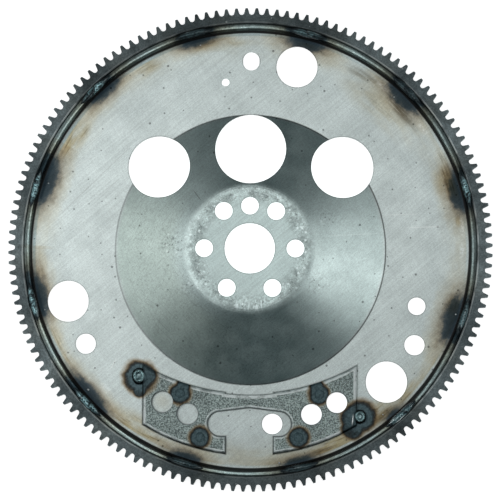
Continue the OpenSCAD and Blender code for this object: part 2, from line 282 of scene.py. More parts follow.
class Finish:
    """One metal finish: a material, its shader, and its object coordinates in millimetres."""

    def __init__(self, name):
        self.material = bpy.data.materials.new(name)
        self.material.use_nodes = True
        self.tree = self.material.node_tree
        self.shader = self.tree.nodes["Principled BSDF"]
        place = self.add("ShaderNodeTexCoord").outputs["Object"]
        scale = self.add("ShaderNodeVectorMath", operation="SCALE")
        self.join(place, scale.inputs[0])
        scale.inputs["Scale"].default_value = 1 / MM
        self.place = scale.outputs["Vector"]
        axes = self.add("ShaderNodeSeparateXYZ")
        self.join(self.place, axes.inputs[0])
        self.x, self.y, self.z = axes.outputs
        self.flat = self.vector(self.x, self.y, 0.0)
        self.radius = self.away((0, 0))
        turn = self.math("ARCTAN2", self.y, self.x)
        self.angle = self.math("FLOORED_MODULO", self.times(turn, 180 / math.pi), 360.0)

    def add(self, kind, **settings):
        node = self.tree.nodes.new(kind)
        for name, value in settings.items():
            setattr(node, name, value)
        return node

    def join(self, value, socket):
        if isinstance(value, bpy.types.NodeSocket):
            self.tree.links.new(value, socket)
        else:
            socket.default_value = value

    def math(self, operation, *values):
        node = self.add("ShaderNodeMath", operation=operation)
        for value, socket in zip(values, node.inputs):
            self.join(value, socket)
        return node.outputs[0]

    def plus(self, a, b):
        return self.math("ADD", a, b)

    def minus(self, a, b):
        return self.math("SUBTRACT", a, b)

    def times(self, first, *others):
        for other in others:
            first = self.math("MULTIPLY", first, other)
        return first

    def over(self, a, b):
        return self.math("DIVIDE", a, b)

    def least(self, first, *others):
        for other in others:
            first = self.math("MINIMUM", first, other)
        return first

    def most(self, first, *others):
        for other in others:
            first = self.math("MAXIMUM", first, other)
        return first

    def vector(self, x, y, z):
        node = self.add("ShaderNodeCombineXYZ")
        for value, socket in zip((x, y, z), node.inputs):
            self.join(value, socket)
        return node.outputs[0]

    def fade(self, value, start, end, low=0.0, high=1.0):
        """low where value is at start, high where it is at end, and smooth between them."""
        node = self.add("ShaderNodeMapRange", interpolation_type="SMOOTHSTEP")
        for item, socket in zip((value, start, end, low, high), node.inputs):
            self.join(item, socket)
        return node.outputs[0]

    def band(self, value, start, end, soft):
        """1 between start and end, and 0 outside them, with soft edges."""
        rise = self.fade(value, start - soft, start + soft)
        fall = self.fade(value, end - soft, end + soft, 1.0, 0.0)
        return self.times(rise, fall)

    def noise(self, size, detail=3.0, rough=0.5, warp=0.0, place=None):
        """Cloudy noise from 0 to 1, with spots of about that size in millimetres."""
        node = self.add("ShaderNodeTexNoise")
        self.join(place or self.place, node.inputs["Vector"])
        node.inputs["Scale"].default_value = 1 / size
        node.inputs["Detail"].default_value = detail
        node.inputs["Roughness"].default_value = rough
        node.inputs["Distortion"].default_value = warp
        return node.outputs[0]

    def streaks(self, turn, length, width):
        """Noise in straight streaks of that length and width, which run at that angle."""
        node = self.add("ShaderNodeMapping", vector_type="TEXTURE")
        self.join(self.place, node.inputs["Vector"])
        node.inputs["Rotation"].default_value = (0, 0, math.radians(turn))
        node.inputs["Scale"].default_value = (length, width, width)
        return self.noise(1.0, 2.0, place=node.outputs[0])

    def rings(self, length, width, detail=3.0):
        """Noise in streaks that run round the axis, with their length measured at the rim."""
        reach = self.over(RIM_RADIUS / length, self.radius)
        x, y = self.times(self.x, reach), self.times(self.y, reach)
        return self.noise(1.0, detail, place=self.vector(x, y, self.over(self.radius, width)))

    def dots(self, spacing, radius, share, dimensions="3D"):
        """1 inside round dots: one in each cell of that spacing, in a share of the cells."""
        node = self.add("ShaderNodeTexVoronoi", voronoi_dimensions=dimensions)
        self.join(self.place, node.inputs["Vector"])
        node.inputs["Scale"].default_value = 1 / spacing
        chosen = self.math("LESS_THAN", self.channel(node.outputs["Color"], 0), share)
        near = self.fade(node.outputs["Distance"], 0.5 * radius / spacing, radius / spacing, 1.0, 0.0)
        return self.times(chosen, near)

    def channel(self, colour, index):
        node = self.add("ShaderNodeSeparateColor")
        self.join(colour, node.inputs[0])
        return node.outputs[index]

    def ramp(self, value, stops, interpolation="LINEAR"):
        """A colour for each value from 0 to 1, from stops of (value, red, green, blue)."""
        node = self.add("ShaderNodeValToRGB")
        node.color_ramp.interpolation = interpolation
        elements = node.color_ramp.elements
        while len(elements) < len(stops):
            elements.new(1.0)
        for element, (at, *colour) in zip(elements, stops):
            element.position = at
            element.color = (*colour, 1.0)
        self.join(value, node.inputs[0])
        return node.outputs["Color"]

    def mix(self, factor, a, b, blend="MIX"):
        node = self.add("ShaderNodeMix", data_type="RGBA", blend_type=blend)
        for value, index in ((factor, 0), (a, 6), (b, 7)):
            if isinstance(value, tuple):
                value = (*value, 1.0)
            self.join(value, node.inputs[index])
        return node.outputs[2]

    def tint(self, colour, factor, other):
        """The colour, multiplied by another one where the factor is 1."""
        return self.mix(factor, colour, other, "MULTIPLY")

    def shade(self, colour, amount):
        """The colour times an amount, which is a number for each place."""
        return self.tint(colour, 1.0, self.vector(amount, amount, amount))

    def darken(self, colour, mask, share):
        """The colour, with that share taken off where the mask is 1."""
        return self.shade(colour, self.minus(1.0, self.times(mask, share)))

    def away(self, centre):
        """Distance from a point on the face."""
        node = self.add("ShaderNodeVectorMath", operation="DISTANCE")
        self.join(self.flat, node.inputs[0])
        node.inputs[1].default_value = (*centre, 0)
        return node.outputs["Value"]

    def nearest(self, circles):
        """Distance from the middle of the nearest circle, counted in its radii."""
        return self.least(*(self.over(self.away(centre), radius) for centre, radius in circles))

    def blend(self, a, b, soft):
        """The lesser of two values, with a soft change between them."""
        return self.math("SMOOTH_MIN", a, b, soft)

    def patch(self, angle, distance, length, depth):
        """How far from a place beside the rim: 1 at half the length along it, or the depth across it."""
        turn = self.math("FLOORED_MODULO", self.minus(self.angle, angle - 180), 360.0)
        along = self.times(self.minus(turn, 180.0), math.radians(1) * distance / (length / 2))
        across = self.over(self.minus(self.radius, distance), depth)
        return self.math("SQRT", self.plus(self.times(along, along), self.times(across, across)))

    def facing(self, angle):
        """1 on the side of the part that lies at this angle, and -1 on the other side."""
        turn = math.radians(angle)
        side = self.plus(self.times(self.x, math.cos(turn)), self.times(self.y, math.sin(turn)))
        return self.over(side, self.radius)

    def bump(self, height, depth):
        """Relief of that depth in millimetres, from a height of 0 to 1."""
        node = self.add("ShaderNodeBump")
        node.inputs["Strength"].default_value = 1.0
        node.inputs["Distance"].default_value = depth * MM
        self.join(height, node.inputs["Height"])
        self.join(node.outputs[0], self.shader.inputs["Normal"])

    def finish(self, colour, roughness, metallic=1.0):
        self.join(colour, self.shader.inputs["Base Color"])
        self.join(roughness, self.shader.inputs["Roughness"])
        self.join(metallic, self.shader.inputs["Metallic"])
        print("finish", self.material.name, "has", len(self.tree.nodes), "nodes")
        return self.material


def dress(piece, material):
    """Gives a piece or a CAD node, which keeps its mesh, one finish all over."""
    piece.data.materials.clear()
    piece.data.materials.append(material)


# %% [markdown]
# Welding leaves colours on steel: blue-black where it was hottest, then brown, then straw.
# The colour only depends on how hot the steel became, so each burn is one number: the distance
# from its middle, counted in burn radii. That number picks the colour. The twelve stitch welds
# repeat with one pitch, so the nearest one is found by rounding, and a list gives its own facts.

# %% Heat colours
# How strong, long and deep the burn beside each stitch weld is, in turn from the right, and how
# many steps it lies behind its weld
WELD_BURNS = [
    (1.0, 1.1, 1.0, 0.2), (0.9, 1.2, 0.95, 0.2), (0.9, 1.15, 0.95, 0.0), (0.8, 1.2, 0.7, 0.2),
    (0.8, 1.2, 0.75, 0.8), (1.0, 1.3, 1.0, 1.4), (0.9, 1.3, 0.9, 0.8), (1.0, 1.3, 0.7, 0.75),
    (0.75, 1.1, 0.7, 0.3), (0.75, 1.2, 0.6, 0.0), (0.55, 0.9, 0.6, 0.7), (1.0, 1.3, 1.1, 0.5),
]
BURN_STEP = 5.0
BURN_LENGTH = 13.5
BURN_DEPTH = 8.4
BURN_EDGE = 143.5
# Share of the reach of the heat, and the colour there
HEAT_COLOURS = [
    (0.0, 0.05, 0.068, 0.085), (0.30, 0.07, 0.09, 0.11), (0.385, 0.13, 0.145, 0.16),
    (0.44, 0.30, 0.27, 0.245), (0.53, 0.56, 0.49, 0.42), (0.66, 0.82, 0.75, 0.67),
    (0.85, 0.96, 0.93, 0.89), (1.0, 1.0, 1.0, 1.0),
]
HEAT_REACH = 2.2


def by_weld(steel, values):
    """For each place, the value that the list gives to the nearest stitch weld, from 0 to 2."""
    starts = [max((WELD_START + (i - 0.5) * WELD_PITCH) / 360, 0.0) for i in range(WELD_COUNT)]
    stops = [(start, value / 2, value / 2, value / 2) for start, value in zip(starts, values)]
    steps = steel.ramp(steel.over(steel.angle, 360.0), stops, "CONSTANT")
    return steel.times(steel.channel(steps, 0), 2.0)


def along_weld(steel):
    """Distance along the rim from the middle of the nearest stitch weld."""
    turn = steel.over(steel.minus(steel.angle, WELD_START), WELD_PITCH)
    nearest = steel.most(steel.least(steel.math("ROUND", turn), WELD_COUNT - 1.0), 0.0)
    rest = steel.minus(turn, nearest)
    return steel.times(rest, steel.radius, math.radians(WELD_PITCH))


def weld_heat(steel):
    """Distance from the nearest stitch weld, in burn radii: 1 is where the dark part ends."""
    strength, length, depth, late = (by_weld(steel, values) for values in zip(*WELD_BURNS))
    across = steel.most(steel.minus(BURN_EDGE, steel.radius), 0.0)
    along = steel.plus(along_weld(steel), steel.times(late, BURN_STEP))
    u = steel.over(along, steel.times(length, BURN_LENGTH))
    v = steel.over(across, steel.times(depth, BURN_DEPTH))
    far = steel.math("SQRT", steel.plus(steel.times(u, u), steel.times(v, v)))
    waves = steel.times(steel.rings(16.0, 4.0), 0.5)
    crumbs = steel.times(steel.noise(4.0, 5.0, 0.65), 0.7)
    ragged = steel.minus(steel.plus(waves, crumbs), 0.6)
    return steel.plus(steel.plus(far, ragged), steel.minus(1.0, strength))


def heat_colour(steel, far):
    return steel.ramp(steel.over(far, HEAT_REACH), HEAT_COLOURS)


print("burns beside", len(WELD_BURNS), "welds")

# %% [markdown]
# A spot or tack weld is hotter and rounder. Round its smooth blue-grey middle lie a dark ring, a
# thin brown one and a gold one. Here the colours replace the steel's own, because the electrode
# or the melt wiped its grain out.

# %% Colours round a spot weld
# Share of the reach of the heat, and the colour there
SPOT_COLOURS = [
    (0.0, 0.075, 0.115, 0.125), (0.20, 0.062, 0.095, 0.105), (0.26, 0.042, 0.065, 0.072),
    (0.30, 0.075, 0.112, 0.122), (0.42, 0.07, 0.105, 0.116), (0.47, 0.032, 0.042, 0.045),
    (0.53, 0.05, 0.045, 0.038), (0.60, 0.17, 0.125, 0.07), (0.70, 0.36, 0.29, 0.19),
    (0.90, 0.50, 0.47, 0.40),
]
SPOT_REACH = 2.0
# Middle and radius of each spot weld
SPOT_WELDS = [((-45.6, -95.0), 5.9), ((45.6, -95.0), 5.9), ((-32.4, -123.4), 5.9), ((32.4, -123.4), 5.9)]
# Middle and radius of the burns round the tack welds, and of the tails that ran along the weight
TACK_BURNS = [((-72.2, -84.0), 9.2), ((73.0, -109.2), 8.6)]
TACK_TAILS = [((-72.2, -93.5), 3.6), ((-65.5, -83.0), 3.6), ((67.5, -117.5), 6.0), ((66.0, -110.5), 5.5)]


def tack_heat(steel):
    """Distance from the nearest tack weld, in radii of its burn."""
    tails = steel.most(steel.nearest(TACK_TAILS), 0.9)
    return steel.blend(steel.nearest(TACK_BURNS), tails, 0.7)


def burn_spots(steel, colour, far):
    """The colour with burnt spots, where far is the distance in spot radii."""
    ragged = steel.plus(far, steel.times(steel.minus(steel.noise(7.0, 3.0, 0.5), 0.5), 0.5))
    spot = steel.ramp(steel.over(ragged, SPOT_REACH), SPOT_COLOURS)
    spot = steel.shade(spot, steel.fade(steel.noise(1.6, 4.0, 0.65), 0.3, 0.7, 0.75, 1.45))
    return steel.mix(steel.fade(ragged, 1.1, 1.55, 1.0, 0.0), colour, spot)


print("spot colours:", len(SPOT_COLOURS))

# %% [markdown]
# The disc is bare sheet steel. Its colour is even, so the eye finds what breaks it: clouds from
# handling, a fine grain, straight lines from the rolling mill, dark specks and long scratches.

# %% Bare sheet steel
STEEL = (0.60, 0.668, 0.655)
# Two ends of each long scratch, its brightness, and how much it shows
SCRATCHES = [
    ((104.5, 14.9), (124.0, 15.6), 0.95, 0.35), ((-125.5, 23.0), (-80.0, 67.5), 0.30, 0.3),
    ((-100.5, 33.0), (-88.0, 45.5), 0.35, 0.25), ((-92.0, -79.5), (-88.0, -72.0), 0.95, 0.35),
    ((-61.0, -56.0), (-59.0, -44.0), 0.30, 0.3), ((-37.0, 37.8), (-32.5, 31.8), 0.15, 0.6),
    ((-128.0, 46.0), (-104.0, 62.0), 0.95, 0.15), ((96.0, 58.0), (112.0, 40.0), 0.95, 0.15),
    ((53.0, 8.6), (84.0, 10.9), 0.95, 0.25), ((89.5, 23.1), (110.0, 23.8), 0.95, 0.2),
]
SCRATCH_WIDTH = 0.45
# Spacing and radius of specks, and the share of places that have one
SPECKS = [(9.0, 0.6, 0.16), (15.0, 0.8, 0.25), (34.0, 1.0, 0.5)]
# Distances from the axis between which the specks get darker, from the hub outwards
HUB_END = (40.0, 60.0)


def scratch(steel, start, end):
    """1 on a straight scratch between two points of the face."""
    run = Vector(end) - Vector(start)
    way = run.normalized()
    x, y = steel.minus(steel.x, start[0]), steel.minus(steel.y, start[1])
    along = steel.plus(steel.times(x, way.x), steel.times(y, way.y))
    across = steel.math("ABSOLUTE", steel.minus(steel.times(x, way.y), steel.times(y, way.x)))
    inside = steel.band(along, 0.0, run.length, 2.0)
    return steel.times(inside, steel.fade(across, 0.2 * SCRATCH_WIDTH, SCRATCH_WIDTH, 1.0, 0.0))


def bare_steel(steel):
    """The colour of the bare sheet, with its specks and scratches."""
    clouds = steel.fade(steel.noise(34.0, 4.0, 0.55), 0.3, 0.7, 0.94, 1.05)
    grain = steel.fade(steel.noise(0.7, 3.0, 0.7), 0.25, 0.75, 0.84, 1.15)
    lines = steel.fade(steel.streaks(40.0, 40.0, 0.8), 0.3, 0.7, 0.93, 1.06)
    lines = steel.times(lines, steel.fade(steel.streaks(118.0, 26.0, 0.9), 0.3, 0.7, 0.97, 1.03))
    colour = steel.shade(STEEL, steel.times(clouds, grain, lines))
    flecks = steel.fade(steel.noise(2.0, 4.0, 0.7, 0.6), 0.62, 0.70)
    colour = steel.mix(steel.times(flecks, 0.25), colour, (0.90, 0.96, 0.95))
    specks = steel.most(*(steel.dots(*row, "2D") for row in SPECKS))
    specks = steel.times(specks, steel.fade(steel.radius, *HUB_END, 0.15, 0.6))
    colour = steel.darken(colour, specks, 1.0)
    for start, end, bright, share in SCRATCHES:
        mark = (bright, bright * 1.02, bright)
        colour = steel.mix(steel.times(scratch(steel, start, end), share), colour, mark)
    return colour


print("scratches:", len(SCRATCHES))

# %% [markdown]
# The hub and the cone round it have rubbed against other parts. That left a mottled ring with dull
# patches, pits and bright scuffs near the hub's bend, more scuffs on the cone, fine hairlines there,
# and a row of bright dashes at the bottom of the hub.

# %% Wear on the hub and the cone
# Distances from the axis where the worn ring and the hairlines start and end
HUB_WEAR = (31.0, 41.0)
HAIRLINES = (44.0, 84.0)
# Middle and radius of each scuffed place on the cone
SCUFFED = [((-50.0, 4.0), 15.0), ((44.0, -22.0), 11.0), ((50.0, 20.0), 9.0), ((-38.0, -26.0), 10.0)]
# Angle, distance from the axis, length and depth of the place with dashes
DASHED = (272.0, 37.5, 30.0, 6.0)


def wear(steel, colour):
    """The colour with the marks that rubbing left."""
    worn = steel.band(steel.radius, *HUB_WEAR, 5.0)
    mottle = steel.fade(steel.noise(1.8, 6.0, 0.8, 0.6), 0.3, 0.7, 0.62, 1.22)
    colour = steel.shade(colour, steel.fade(worn, 0.0, 1.0, 1.0, mottle))
    dull = steel.times(steel.fade(steel.noise(8.0, 4.0, 0.6), 0.48, 0.62), worn)
    colour = steel.darken(colour, dull, 0.36)
    touched = steel.fade(steel.nearest(SCUFFED), 0.3, 1.0, 1.0, 0.0)
    pits = steel.fade(steel.noise(1.5, 4.0, 0.75, 0.5), 0.55, 0.64)
    pits = steel.most(pits, steel.times(steel.dots(3.2, 0.7, 0.4, "2D"), touched))
    colour = steel.darken(colour, steel.times(pits, steel.most(worn, touched)), 0.5)
    hairs = steel.most(steel.streaks(58.0, 9.0, 0.5), steel.streaks(136.0, 9.0, 0.5))
    hairs = steel.times(steel.fade(hairs, 0.58, 0.68), steel.band(steel.radius, *HAIRLINES, 4.0))
    hairs = steel.times(hairs, steel.fade(steel.facing(215.0), -0.2, 0.6, 0.35, 1.0))
    colour = steel.darken(colour, hairs, 0.28)
    scuffs = steel.fade(steel.noise(2.6, 6.0, 0.75, 1.0), 0.56, 0.64)
    scuffs = steel.most(scuffs, steel.dots(5.0, 1.0, 0.4, "2D"))
    scuffs = steel.times(scuffs, steel.most(worn, steel.times(touched, 0.7)))
    dashes = steel.fade(steel.streaks(88.0, 7.0, 1.6), 0.54, 0.66)
    dashes = steel.times(dashes, steel.fade(steel.patch(*DASHED), 0.5, 1.1, 1.0, 0.0))
    return steel.mix(steel.times(steel.most(scuffs, dashes), 0.75), colour, (0.92, 0.97, 0.97))


print("scuffed places on the cone:", len(SCUFFED))

# %% [markdown]
# A thin dark line of painted shade lies in the crease at the foot of the cone, darker on the
# right, and painted shade lies round the edges of the holes. The dished middle has a cooler
# colour than the annulus, and a warmer tint on its left.

# %% Dish tints and painted shade


def ring_of(distance, *angles):
    """Points round the axis."""
    return [(distance * math.cos(math.radians(a)), distance * math.sin(math.radians(a))) for a in angles]


# Middle and radius of the holes, without the smallest one and those under the weight
HOLES = [((0, 0), 16.5), ((0, 27.9), 5.8), ((0, 66.0), 23.35), ((0, 124.8), 5.7)]
HOLES += [(centre, 5.85) for centre in ring_of(29.85, 0, 55, 125, 180, 240, 300)]
HOLES += [(centre, 20.5) for centre in ring_of(81.2, 42, 138)]
HOLES += [(centre, 13.55) for centre in ring_of(124.8, 76, 196, 316)]
HOLES += [(centre, 6.65) for centre in ring_of(124.8, 210, 330)]
HOLES += list(zip(ring_of(115.5, 277.4, 341.4), (6.7, 5.8)))
DISH_RADIUS = 89.3
# Distances from the axis between which the warmer tint on the left sets in
WARM_LEFT_START = (44.0, 56.0)


def dish_tints_and_shade(steel, colour):
    """The colour with the dish's tints, a line of painted shade at its foot and painted shade round the
    holes.
    """
    dish = steel.fade(steel.radius, DISH_RADIUS - 3.0, DISH_RADIUS, 1.0, 0.0)
    colour = steel.tint(colour, dish, (0.935, 1.0, 0.995))
    warm_left = steel.times(dish, steel.fade(steel.facing(200.0), 0.3, 0.9), steel.fade(steel.radius, *WARM_LEFT_START))
    colour = steel.tint(colour, warm_left, (0.97, 0.965, 0.925))
    # Painted shade: a thin dark line in the crease at the dish's foot, darker on the right.
    crease_shade = steel.band(steel.radius, DISH_RADIUS - 0.75, DISH_RADIUS + 0.15, 0.3)
    crease_shade = steel.times(crease_shade, steel.fade(steel.facing(0.0), -0.5, 0.9, 0.5, 0.75))
    colour = steel.darken(colour, crease_shade, 1.0)
    # Painted shade round the edges of the holes.
    shaded_edge = steel.least(*(steel.minus(steel.away(centre), radius) for centre, radius in HOLES))
    return steel.darken(colour, steel.fade(shaded_edge, 0.1, 0.8, 1.0, 0.0), 0.4)


print("hole edges:", len(HOLES))

# %% [markdown]
# Further from the welds the heat only left smoke: straw and brown streaks that follow the rim,
# widest under the balance weight. Each stain is a patch that lies along the rim, broken up by
# streaks that run round the axis. Soot lies there in the same way, and a few places were wiped
# clean.

# %% Smoke and soot on the annulus
# Angle, distance from the axis, length, depth and strength of each stain
STAINS = [
    (8.0, 138.0, 14.0, 3.5, 0.7), (345.0, 138.0, 26.0, 9.0, 0.7), (19.0, 138.0, 40.0, 14.0, 0.9),
    (48.0, 128.0, 90.0, 15.0, 0.55), (76.0, 138.0, 40.0, 9.0, 0.6), (99.0, 138.0, 56.0, 7.0, 0.9),
    (121.0, 139.0, 60.0, 9.0, 0.8), (148.0, 138.0, 56.0, 11.0, 1.0), (184.0, 140.0, 44.0, 9.0, 0.7),
    (208.0, 141.0, 60.0, 10.0, 0.7), (238.0, 141.0, 80.0, 15.0, 1.0), (268.0, 142.0, 200.0, 22.0, 0.5),
    (294.0, 140.0, 60.0, 14.0, 1.3), (327.0, 142.0, 60.0, 11.0, 0.8), (240.3, 115.5, 18.0, 9.0, 0.3),
    (307.0, 136.0, 48.0, 11.0, 1.1), (319.0, 139.5, 40.0, 6.0, 0.9),
]
STRAW = (0.78, 0.62, 0.40)
BROWN = (0.45, 0.41, 0.36)
# The same facts of smudges of soot
SMUDGES = [
    (42.5, 134.5, 40.0, 4.5, 1.0), (57.0, 137.0, 36.0, 5.0, 0.8), (24.0, 140.0, 26.0, 5.0, 0.7),
    (309.0, 139.5, 26.0, 4.5, 0.8),
]
SOOT = (0.46, 0.43, 0.39)
# Angle, distance from the axis, length and depth of places that were wiped clean
WIPED = [
    (36.0, 139.0, 26.0, 3.0), (51.0, 138.5, 14.0, 2.5), (224.0, 132.0, 12.0, 4.0),
    (6.0, 140.0, 20.0, 2.0), (0.0, 139.0, 14.0, 2.5),
]
# Distances from the axis between which the haze sets in, and between which the flat annulus ends
HAZE_START = (122.0, 140.0)
FLAT_END = (141.4, 142.6)


def annulus(steel):
    """1 as far as the flat annulus goes, and 0.1 on the flange."""
    return steel.fade(steel.radius, *FLAT_END, 1.0, 0.1)


def smoke(steel, colour):
    """The colour with straw and brown stains."""
    haze = steel.fade(steel.noise(24.0, 3.0), 0.25, 0.65, 0.1, 0.4)
    stain = steel.times(steel.fade(steel.radius, *HAZE_START), haze)
    for *place, strength in STAINS:
        stain = steel.most(stain, steel.fade(steel.patch(*place), 0.15, 1.0, strength, 0.0))
    streaks = steel.fade(steel.rings(22.0, 6.0, 5.0), 0.3, 0.62, 0.35, 1.0)
    stain = steel.times(stain, streaks, annulus(steel))
    colour = steel.tint(colour, stain, STRAW)
    brown = steel.times(steel.fade(steel.rings(20.0, 1.3, 4.0), 0.50, 0.66), steel.fade(stain, 0.3, 0.9))
    return steel.tint(colour, steel.times(brown, 0.8), BROWN)


def soot(steel, colour):
    """The colour with smudges of soot and wiped places."""
    smudge = steel.most(*(steel.fade(steel.patch(*place), 0.2, 1.0, share, 0.0) for *place, share in SMUDGES))
    streaks = steel.fade(steel.rings(26.0, 2.2, 5.0), 0.38, 0.58)
    colour = steel.tint(colour, steel.times(smudge, streaks, annulus(steel)), SOOT)
    wiped = steel.least(*(steel.patch(*place) for place in WIPED))
    broken = steel.fade(steel.noise(2.2, 5.0, 0.75), 0.42, 0.62, 0.1, 1.0)
    wiped = steel.times(steel.fade(wiped, 0.2, 1.0, 0.9, 0.0), broken)
    return steel.mix(wiped, colour, (0.80, 0.86, 0.85))


print("stains:", len(STAINS), "and smudges of soot:", len(SMUDGES))

# %% [markdown]
# A dark line of painted shadow runs round the balance weight, where it lies on the disc. Its
# edges are two arcs, two sides, a peaked window with round lobes, and four holes. The distance
# from each of them is one number, which both the disc and the weight use.

# %% The balance weight's outline
INNER_ARC = ((0, 45.4), 140.0)
INNER_TRIM = 1.0
OUTER_RADIUS = 135.2
HALF_WIDTH = 70.5
LOBE = (19.3, -114.5, 8.3)
PEAK = 2.4
HALF_GAP = 15.7
WEIGHT_HOLES = [(centre, 7.1) for centre in ring_of(115.5, 240.3, 249.4, 290.6, 299.7)]


def weight_edges(steel):
    """How far inside the weight's outline, its window's edge and its holes' edges a place is."""
    x = steel.math("ABSOLUTE", steel.x)
    from_arc = steel.minus(steel.away(INNER_ARC[0]), INNER_ARC[1])
    trimmed = steel.most(steel.minus(from_arc, INNER_TRIM), steel.minus(x, HALF_GAP))
    side = steel.minus(HALF_WIDTH, x)
    outline = steel.least(from_arc, trimmed, side, steel.minus(OUTER_RADIUS, steel.radius))
    lobe_x, lobe_y, lobe_radius = LOBE
    lobes = steel.minus(steel.least(steel.away((lobe_x, lobe_y)), steel.away((-lobe_x, lobe_y))), lobe_radius)
    roof = steel.plus(steel.y, steel.minus(steel.times(x, PEAK / lobe_x), lobe_y + lobe_radius + PEAK))
    floor = steel.minus(lobe_y - lobe_radius, steel.y)
    middle = steel.most(roof, floor, steel.minus(x, lobe_x))
    gap = steel.most(steel.minus(x, HALF_GAP), steel.minus(steel.y, lobe_y))
    holes = steel.least(*(steel.minus(steel.away(centre), radius) for centre, radius in WEIGHT_HOLES))
    return outline, steel.least(lobes, middle, gap), holes


def front_face(steel):
    """1 on the disc's front, which the weight lies on, and 0 on its back."""
    return steel.fade(steel.z, 1.0, 2.0)


def seam_shadow(steel, colour):
    """The colour with a dark line of painted shadow round the weight, where it lies on the disc."""
    outline, window, holes = weight_edges(steel)
    shaded_edge = steel.math("ABSOLUTE", steel.least(outline, window, holes))
    depth = steel.fade(window, 0.0, 2.0, 0.75, 0.4)
    # Painted shadow: a dark line round the weight's outline, window and holes.
    mark = steel.times(steel.fade(shaded_edge, 0.1, 0.9, 1.0, 0.0), depth, front_face(steel))
    return steel.darken(colour, mark, 1.0)


print("weight: outline, window and", len(WEIGHT_HOLES), "holes")

# %% [markdown]
# All of it comes together on the disc. On top of the burns lies painted shade: on the strip beside
# the flange, and as a black layer in the flange's bend, which is no metal and hardly shines. The
# rim's sheared edge is bright along its inner side, with painted shade outside it, and painted light
# makes it lighter on the left and at the bottom and darker on the right. The two tack welds burn the
# disc as well as the weight. The spot welds show on its back, where the other electrode stood.

# %% The disc's finish
# Distances from the axis where the painted shade on the strip beside the flange, the flange's bend,
# the edge of its wall and the bright part of the rim start and end, and half the width of a soft edge
RIM_STRIP = (141.7, 143.6)
FLANGE_BEND = (143.5, 145.1)
WALL_EDGE = (145.1, 145.5)
RIM_CORE = (145.4, 145.9)
SOFT = 0.4
# Heights between which the black painted shade on the wall ends
WALL_TOP = (12.4, 13.3)


def flange_shade(steel, colour, lower, left):
    """The colour with painted shade on the strip beside the flange and black painted shade in its bend, and
    where that black shade is.
    """
    # Painted shade on the strip of annulus beside the flange, strongest at the upper left.
    strip_shade = steel.band(steel.radius, *RIM_STRIP, 0.5)
    strip_shade = steel.times(strip_shade, steel.fade(steel.facing(140.0), -0.2, 0.8, 0.15, 0.6))
    colour = steel.tint(colour, strip_shade, (0.42, 0.52, 0.56))
    inner, outer = FLANGE_BEND
    # Black painted shade in the flange's bend and up its wall.
    start = steel.fade(steel.minus(steel.radius, left), inner - SOFT, inner + SOFT)
    end = steel.fade(steel.minus(steel.radius, lower), outer - SOFT, outer + SOFT, 1.0, 0.0)
    wall = steel.fade(steel.radius, *WALL_EDGE, 1.0, 0.0)
    wall = steel.times(steel.fade(steel.z, *WALL_TOP, 1.0, 0.0), wall)
    scale = steel.times(start, steel.most(end, wall))
    return steel.darken(colour, scale, 0.95), scale


def rim_edge(steel, colour, lower, sides):
    """The colour with the rim's edge: painted shade outside its bright inner side, and painted light that is
    lighter on the left and at the bottom and darker on the right.
    """
    inner, outer = RIM_CORE
    place = steel.plus(steel.minus(steel.radius, lower), sides)
    # Painted shade outside the rim's bright inner side.
    colour = steel.darken(colour, steel.fade(place, outer, outer + 1.4), 0.75)
    speckle = steel.fade(steel.noise(1.0, 3.0, 0.7), 0.3, 0.7, 0.6, 1.1)
    speckle = steel.times(speckle, steel.fade(steel.rings(18.0, 0.6), 0.35, 0.6, 0.6, 1.1))
    # Painted light: lighter on the left and at the bottom, darker on the right.
    bright = steel.fade(steel.facing(345.0), 0.2, 0.9, 1.15, 0.8)
    bright = steel.plus(bright, steel.times(lower, 0.2))
    rim = steel.fade(steel.radius, inner - SOFT, inner)
    colour = steel.shade(colour, steel.fade(rim, 0.0, 1.0, 1.0, steel.times(speckle, bright)))
    return steel.tint(colour, rim, (0.87, 0.99, 1.0))


def disc_steel():
    steel = Finish("disc_steel")
    colour = dish_tints_and_shade(steel, wear(steel, bare_steel(steel)))
    colour = seam_shadow(steel, soot(steel, smoke(steel, colour)))
    front = front_face(steel)
    tacks = steel.plus(tack_heat(steel), steel.times(steel.minus(1.0, front), 3.0))
    spots = steel.plus(steel.nearest(SPOT_WELDS), steel.times(front, 3.0))
    colour = burn_spots(steel, colour, steel.least(tacks, spots))
    colour = steel.tint(colour, 1.0, heat_colour(steel, weld_heat(steel)))
    # How far the marks of the rim are moved at the bottom, on the left and on the right
    lower = steel.fade(steel.facing(278.0), 0.45, 0.85, 0.0, 1.2)
    left = steel.fade(steel.facing(155.0), 0.5, 0.9, 0.0, 0.4)
    right = steel.fade(steel.facing(33.0), 0.85, 0.98, 0.0, 0.35)
    colour, scale = flange_shade(steel, colour, lower, left)
    colour = rim_edge(steel, colour, lower, steel.most(left, right))
    roughness = steel.fade(steel.noise(14.0, 4.0), 0.3, 0.7, 0.29, 0.35)
    steel.bump(steel.noise(0.8, 3.0, 0.6), 0.02)
    steel.shader.inputs["Specular IOR Level"].default_value = 0.2
    # The black painted shade in the bend is made almost no metal, so that it hardly shines.
    return steel.finish(colour, roughness, steel.minus(1.0, steel.times(scale, 0.9)))


dress(nodes["flexplate_disc"], disc_steel())

# %% [markdown]
# The ring gear was hardened, and the heat left it dark grey with a dull skin of scale. Painted light
# makes it lighter on the left and right and darker at the top and bottom, and it has small bright
# flecks. A painted highlight lies along the edge of the bore's bevel, broken in places.

# %% The ring gear's scale
RING_EDGE = 149.6


